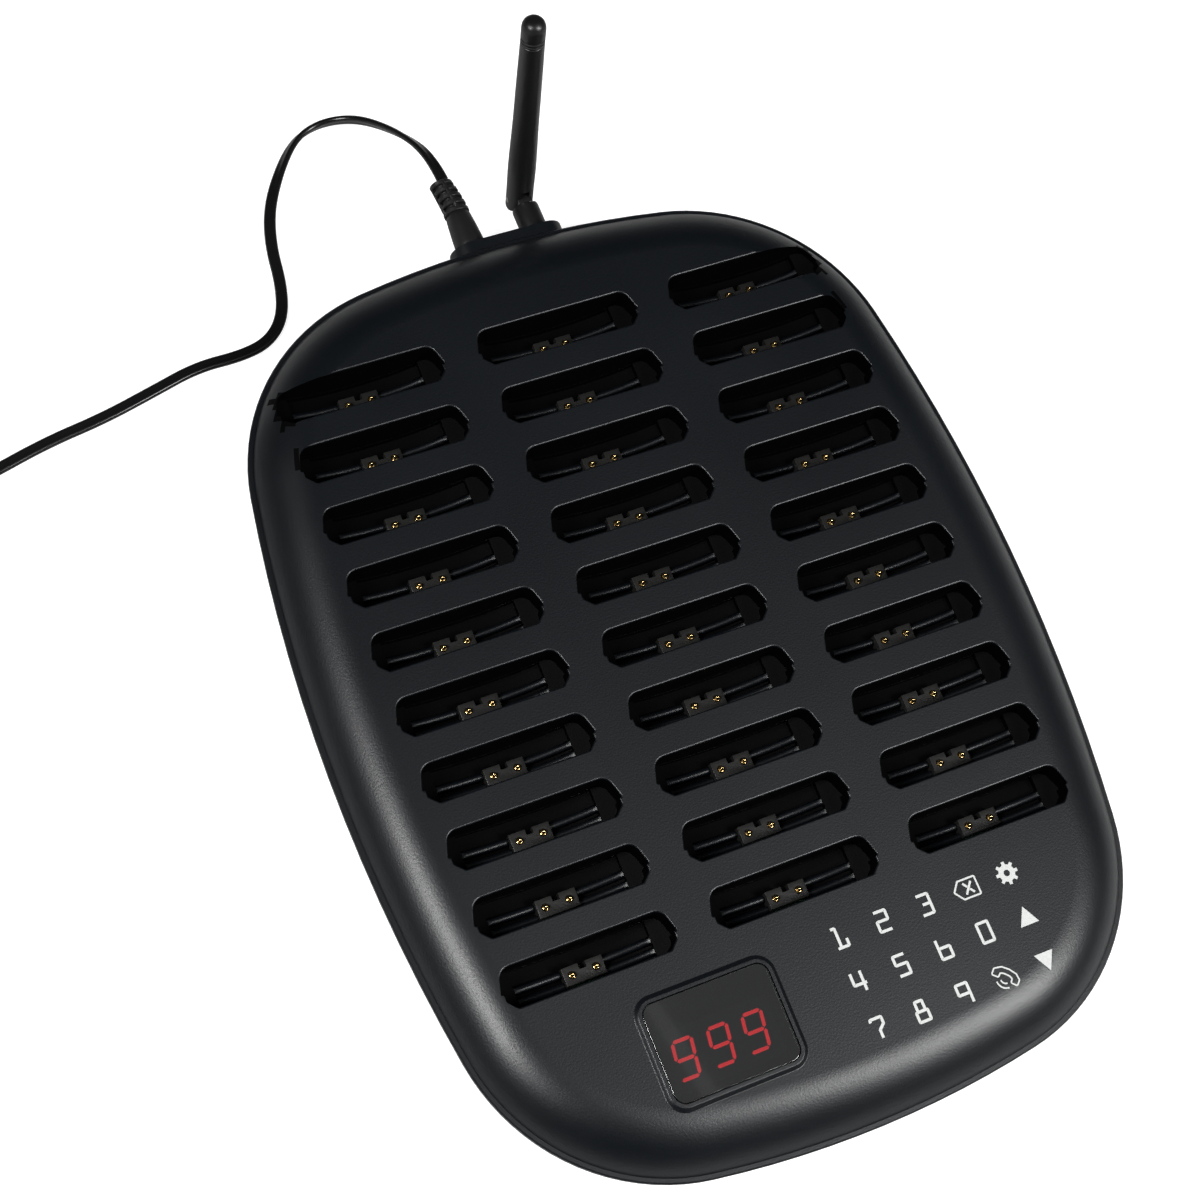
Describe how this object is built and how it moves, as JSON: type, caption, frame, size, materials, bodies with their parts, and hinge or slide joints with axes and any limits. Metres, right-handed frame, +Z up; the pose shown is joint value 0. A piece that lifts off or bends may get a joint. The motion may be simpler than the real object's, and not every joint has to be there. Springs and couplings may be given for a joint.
{
  "type": "guest pager charging base",
  "caption": "Low black charging tray with rows of upright wells and sprung contact pins, a red digit display, a touch keypad, an elbow antenna and a power lead.",
  "frame": {"origin": "on the floor, under the middle of the box round the base and its antenna; the power lead is left out of that box", "axes": "+X to the right as seen by the user at the keypad, +Y to the rear, where the antenna and plug are, +Z up"},
  "size_m": [0.411, 0.4132, 0.1219],
  "materials": {
    "housing": "satin",
    "window": "polished",
    "digits": "satin",
    "board": "satin",
    "shield": "satin",
    "contact_block": "satin",
    "contact": "polished",
    "jack": "satin",
    "socket": "satin",
    "plug": "satin",
    "barrel": "polished",
    "antenna": "satin",
    "pin_steel": "satin",
    "foot": "matt",
    "screw": "satin",
    "cord": "satin",
    "adapter": "satin",
    "blade": "polished"
  },
  "bodies": {
    "base": {"top_cover": "housing", "cover_wells": "housing", "bottom_cover": "housing", "charging_board": "board", "main_board": "board", "touch_board": "board", "display_module": "digits", "display_window": "window", "radio_module": "shield", "contact_blocks": "contact_block", "power_jack": "jack", "antenna_socket": "socket", "power_plug": "plug", "plug_barrel": "barrel", "rubber_feet": "foot", "case_screws": "screw", "board_screws": "screw", "cord_coil": "cord", "power_cord": "cord", "adapter_case": "adapter", "adapter_blades": "blade"},
    "antenna_turn": {"antenna_knuckle": "antenna"},
    "antenna_tilt": {"antenna_whip": "antenna", "hinge_pin": "pin_steel", "whip_cap": "antenna"},
    "contact_pins_01": {"contact_pins_01": "contact"},
    "contact_pins_02": {"contact_pins_02": "contact"},
    "contact_pins_03": {"contact_pins_03": "contact"},
    "contact_pins_04": {"contact_pins_04": "contact"},
    "contact_pins_05": {"contact_pins_05": "contact"},
    "contact_pins_06": {"contact_pins_06": "contact"},
    "contact_pins_07": {"contact_pins_07": "contact"},
    "contact_pins_08": {"contact_pins_08": "contact"},
    "contact_pins_09": {"contact_pins_09": "contact"},
    "contact_pins_10": {"contact_pins_10": "contact"},
    "contact_pins_11": {"contact_pins_11": "contact"},
    "contact_pins_12": {"contact_pins_12": "contact"},
    "contact_pins_13": {"contact_pins_13": "contact"},
    "contact_pins_14": {"contact_pins_14": "contact"},
    "contact_pins_15": {"contact_pins_15": "contact"},
    "contact_pins_16": {"contact_pins_16": "contact"},
    "contact_pins_17": {"contact_pins_17": "contact"},
    "contact_pins_18": {"contact_pins_18": "contact"},
    "contact_pins_19": {"contact_pins_19": "contact"},
    "contact_pins_20": {"contact_pins_20": "contact"},
    "contact_pins_21": {"contact_pins_21": "contact"},
    "contact_pins_22": {"contact_pins_22": "contact"},
    "contact_pins_23": {"contact_pins_23": "contact"},
    "contact_pins_24": {"contact_pins_24": "contact"},
    "contact_pins_25": {"contact_pins_25": "contact"},
    "contact_pins_26": {"contact_pins_26": "contact"},
    "contact_pins_27": {"contact_pins_27": "contact"},
    "contact_pins_28": {"contact_pins_28": "contact"},
    "contact_pins_29": {"contact_pins_29": "contact"},
    "contact_pins_30": {"contact_pins_30": "contact"}
  },
  "joints": [
    {"name": "antenna_swivel", "type": "hinge", "parent": "base", "child": "antenna_turn", "pos_m": [0.0132, 0.16802, 0.0255], "axis": [0, 1, 0], "range_deg": [-50, 90]},
    {"name": "antenna_elbow", "type": "hinge", "parent": "antenna_turn", "child": "antenna_tilt", "pos_m": [0.0132, 0.16802, 0.0255], "axis": [-0.9986, 0, -0.0523], "range_deg": [-5, 84]},
    {"name": "contact_01", "type": "slide", "parent": "base", "child": "contact_pins_01", "axis": [0, 0, -1], "range_m": [0, 0.0009], "stiffness_N_per_m": 200},
    {"name": "contact_02", "type": "slide", "parent": "base", "child": "contact_pins_02", "axis": [0, 0, -1], "range_m": [0, 0.0009], "stiffness_N_per_m": 200},
    {"name": "contact_03", "type": "slide", "parent": "base", "child": "contact_pins_03", "axis": [0, 0, -1], "range_m": [0, 0.0009], "stiffness_N_per_m": 200},
    {"name": "contact_04", "type": "slide", "parent": "base", "child": "contact_pins_04", "axis": [0, 0, -1], "range_m": [0, 0.0009], "stiffness_N_per_m": 200},
    {"name": "contact_05", "type": "slide", "parent": "base", "child": "contact_pins_05", "axis": [0, 0, -1], "range_m": [0, 0.0009], "stiffness_N_per_m": 200},
    {"name": "contact_06", "type": "slide", "parent": "base", "child": "contact_pins_06", "axis": [0, 0, -1], "range_m": [0, 0.0009], "stiffness_N_per_m": 200},
    {"name": "contact_07", "type": "slide", "parent": "base", "child": "contact_pins_07", "axis": [0, 0, -1], "range_m": [0, 0.0009], "stiffness_N_per_m": 200},
    {"name": "contact_08", "type": "slide", "parent": "base", "child": "contact_pins_08", "axis": [0, 0, -1], "range_m": [0, 0.0009], "stiffness_N_per_m": 200},
    {"name": "contact_09", "type": "slide", "parent": "base", "child": "contact_pins_09", "axis": [0, 0, -1], "range_m": [0, 0.0009], "stiffness_N_per_m": 200},
    {"name": "contact_10", "type": "slide", "parent": "base", "child": "contact_pins_10", "axis": [0, 0, -1], "range_m": [0, 0.0009], "stiffness_N_per_m": 200},
    {"name": "contact_11", "type": "slide", "parent": "base", "child": "contact_pins_11", "axis": [0, 0, -1], "range_m": [0, 0.0009], "stiffness_N_per_m": 200},
    {"name": "contact_12", "type": "slide", "parent": "base", "child": "contact_pins_12", "axis": [0, 0, -1], "range_m": [0, 0.0009], "stiffness_N_per_m": 200},
    {"name": "contact_13", "type": "slide", "parent": "base", "child": "contact_pins_13", "axis": [0, 0, -1], "range_m": [0, 0.0009], "stiffness_N_per_m": 200},
    {"name": "contact_14", "type": "slide", "parent": "base", "child": "contact_pins_14", "axis": [0, 0, -1], "range_m": [0, 0.0009], "stiffness_N_per_m": 200},
    {"name": "contact_15", "type": "slide", "parent": "base", "child": "contact_pins_15", "axis": [0, 0, -1], "range_m": [0, 0.0009], "stiffness_N_per_m": 200},
    {"name": "contact_16", "type": "slide", "parent": "base", "child": "contact_pins_16", "axis": [0, 0, -1], "range_m": [0, 0.0009], "stiffness_N_per_m": 200},
    {"name": "contact_17", "type": "slide", "parent": "base", "child": "contact_pins_17", "axis": [0, 0, -1], "range_m": [0, 0.0009], "stiffness_N_per_m": 200},
    {"name": "contact_18", "type": "slide", "parent": "base", "child": "contact_pins_18", "axis": [0, 0, -1], "range_m": [0, 0.0009], "stiffness_N_per_m": 200},
    {"name": "contact_19", "type": "slide", "parent": "base", "child": "contact_pins_19", "axis": [0, 0, -1], "range_m": [0, 0.0009], "stiffness_N_per_m": 200},
    {"name": "contact_20", "type": "slide", "parent": "base", "child": "contact_pins_20", "axis": [0, 0, -1], "range_m": [0, 0.0009], "stiffness_N_per_m": 200},
    {"name": "contact_21", "type": "slide", "parent": "base", "child": "contact_pins_21", "axis": [0, 0, -1], "range_m": [0, 0.0009], "stiffness_N_per_m": 200},
    {"name": "contact_22", "type": "slide", "parent": "base", "child": "contact_pins_22", "axis": [0, 0, -1], "range_m": [0, 0.0009], "stiffness_N_per_m": 200},
    {"name": "contact_23", "type": "slide", "parent": "base", "child": "contact_pins_23", "axis": [0, 0, -1], "range_m": [0, 0.0009], "stiffness_N_per_m": 200},
    {"name": "contact_24", "type": "slide", "parent": "base", "child": "contact_pins_24", "axis": [0, 0, -1], "range_m": [0, 0.0009], "stiffness_N_per_m": 200},
    {"name": "contact_25", "type": "slide", "parent": "base", "child": "contact_pins_25", "axis": [0, 0, -1], "range_m": [0, 0.0009], "stiffness_N_per_m": 200},
    {"name": "contact_26", "type": "slide", "parent": "base", "child": "contact_pins_26", "axis": [0, 0, -1], "range_m": [0, 0.0009], "stiffness_N_per_m": 200},
    {"name": "contact_27", "type": "slide", "parent": "base", "child": "contact_pins_27", "axis": [0, 0, -1], "range_m": [0, 0.0009], "stiffness_N_per_m": 200},
    {"name": "contact_28", "type": "slide", "parent": "base", "child": "contact_pins_28", "axis": [0, 0, -1], "range_m": [0, 0.0009], "stiffness_N_per_m": 200},
    {"name": "contact_29", "type": "slide", "parent": "base", "child": "contact_pins_29", "axis": [0, 0, -1], "range_m": [0, 0.0009], "stiffness_N_per_m": 200},
    {"name": "contact_30", "type": "slide", "parent": "base", "child": "contact_pins_30", "axis": [0, 0, -1], "range_m": [0, 0.0009], "stiffness_N_per_m": 200}
  ]
}
